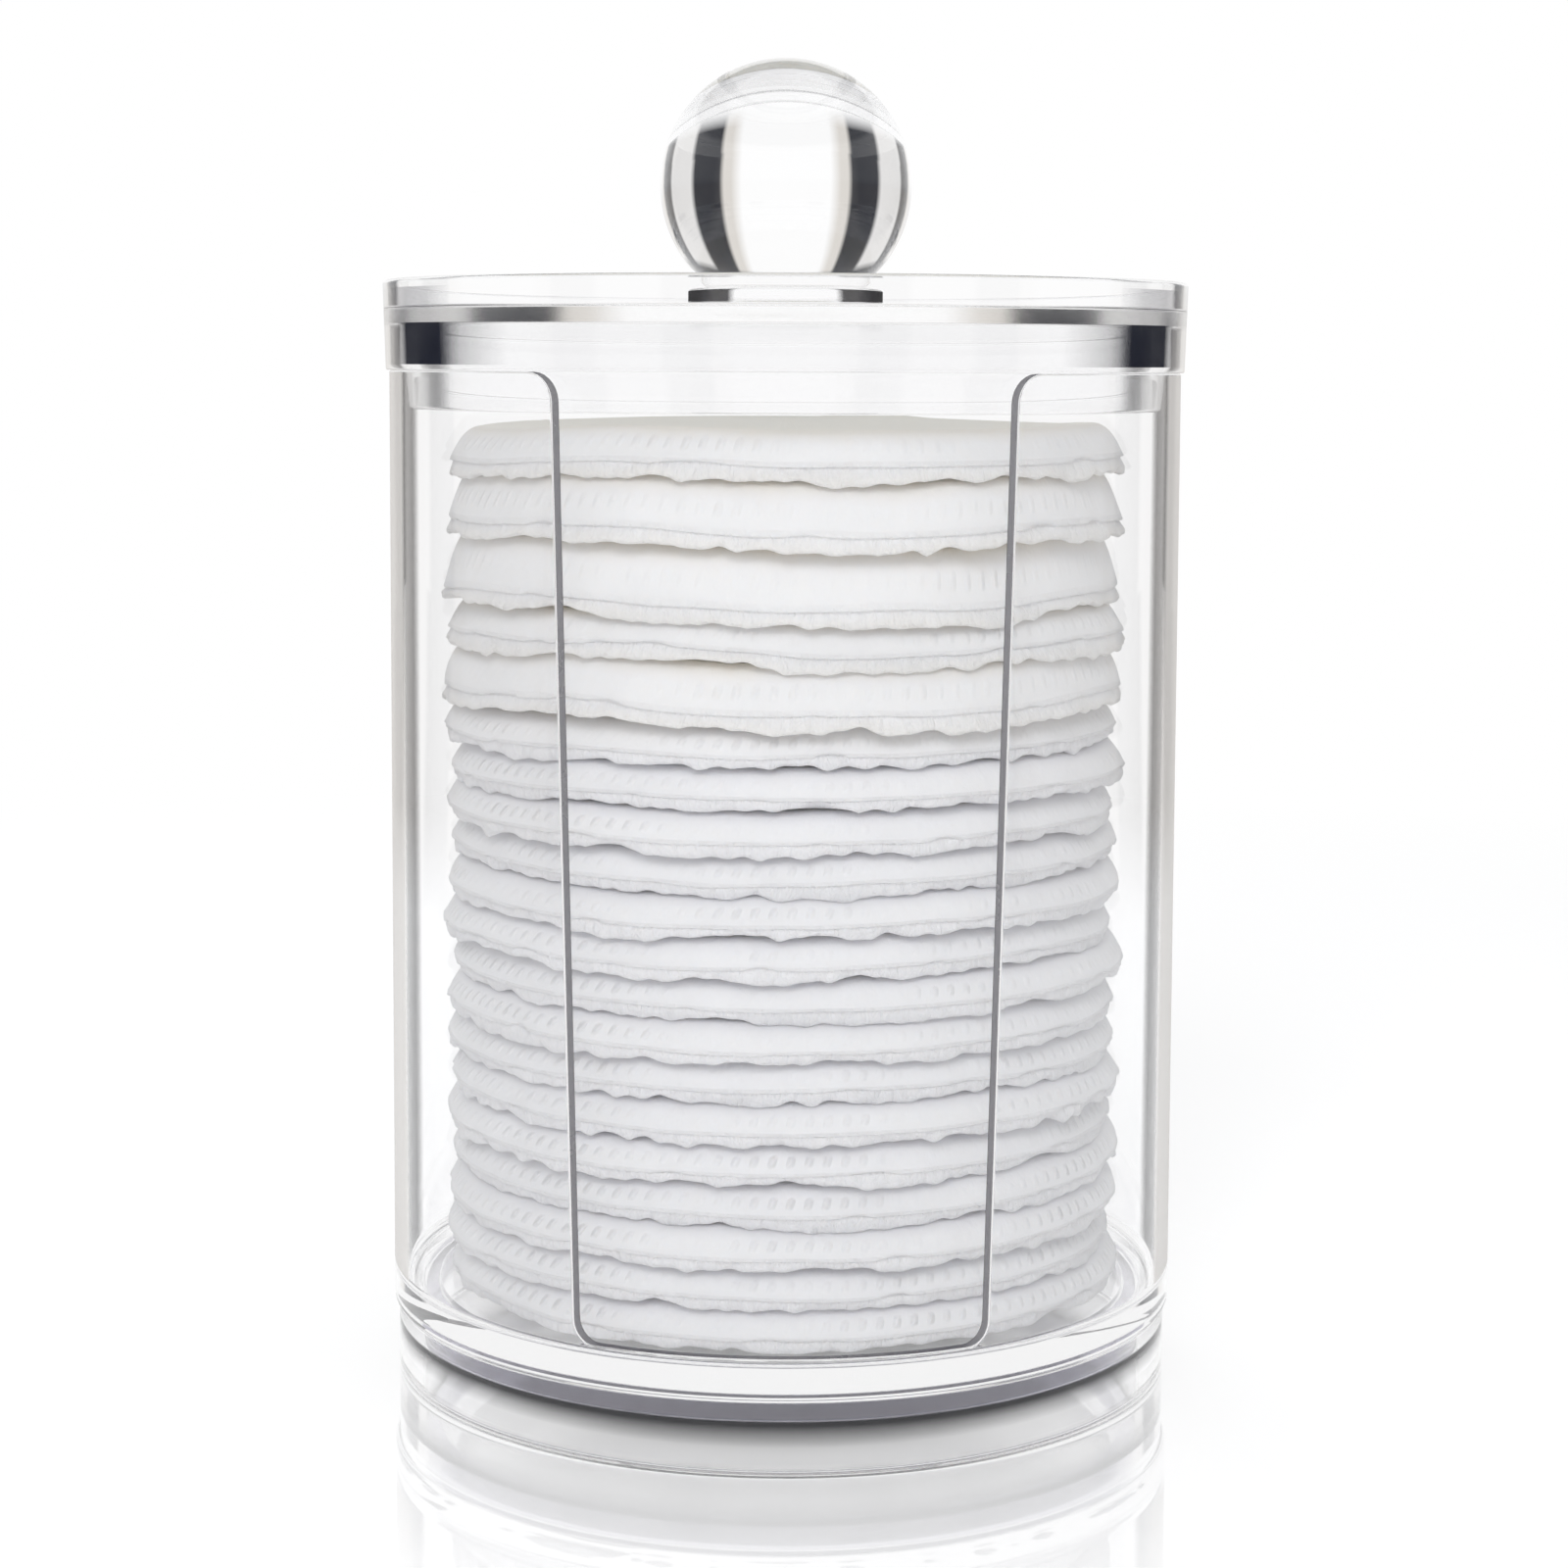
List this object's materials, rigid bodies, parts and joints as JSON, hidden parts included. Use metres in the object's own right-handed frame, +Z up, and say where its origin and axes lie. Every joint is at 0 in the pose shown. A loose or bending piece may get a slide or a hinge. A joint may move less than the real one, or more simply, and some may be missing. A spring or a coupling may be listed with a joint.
{
  "type": "cotton pad canister",
  "caption": "Clear round canister with a tall front slot, a lift-off lid with a ball knob, and a stack of round cotton pads drawn out through the slot.",
  "frame": {"origin": "centre of the foot, on the surface that the canister stands on", "axes": "+Z up along the canister's axis, -Y towards the dispensing slot, +X to the right seen from the slot"},
  "size_m": [0.071, 0.071, 0.1168],
  "materials": {
    "clear_plastic": "clear polished acrylic, moulded, see-through",
    "cotton": "soft bleached cotton wool with a pressed, crimped edge"
  },
  "bodies": {
    "canister": {"canister_body": "clear_plastic", "foot_ring": "clear_plastic", "cotton_pad_01": "cotton", "cotton_pad_02": "cotton", "cotton_pad_03": "cotton", "cotton_pad_04": "cotton", "cotton_pad_05": "cotton", "cotton_pad_06": "cotton", "cotton_pad_07": "cotton", "cotton_pad_08": "cotton", "cotton_pad_09": "cotton", "cotton_pad_10": "cotton", "cotton_pad_11": "cotton", "cotton_pad_12": "cotton", "cotton_pad_13": "cotton", "cotton_pad_14": "cotton", "cotton_pad_15": "cotton", "cotton_pad_16": "cotton", "cotton_pad_17": "cotton", "cotton_pad_18": "cotton", "cotton_pad_19": "cotton", "cotton_pad_20": "cotton"},
    "lid": {"lid_cap": "clear_plastic", "ball_knob": "clear_plastic"}
  },
  "joints": [
    {"name": "lid_lift", "type": "slide", "parent": "canister", "child": "lid", "axis": [0, 0, 1], "range_m": [0, 0.045]}
  ]
}
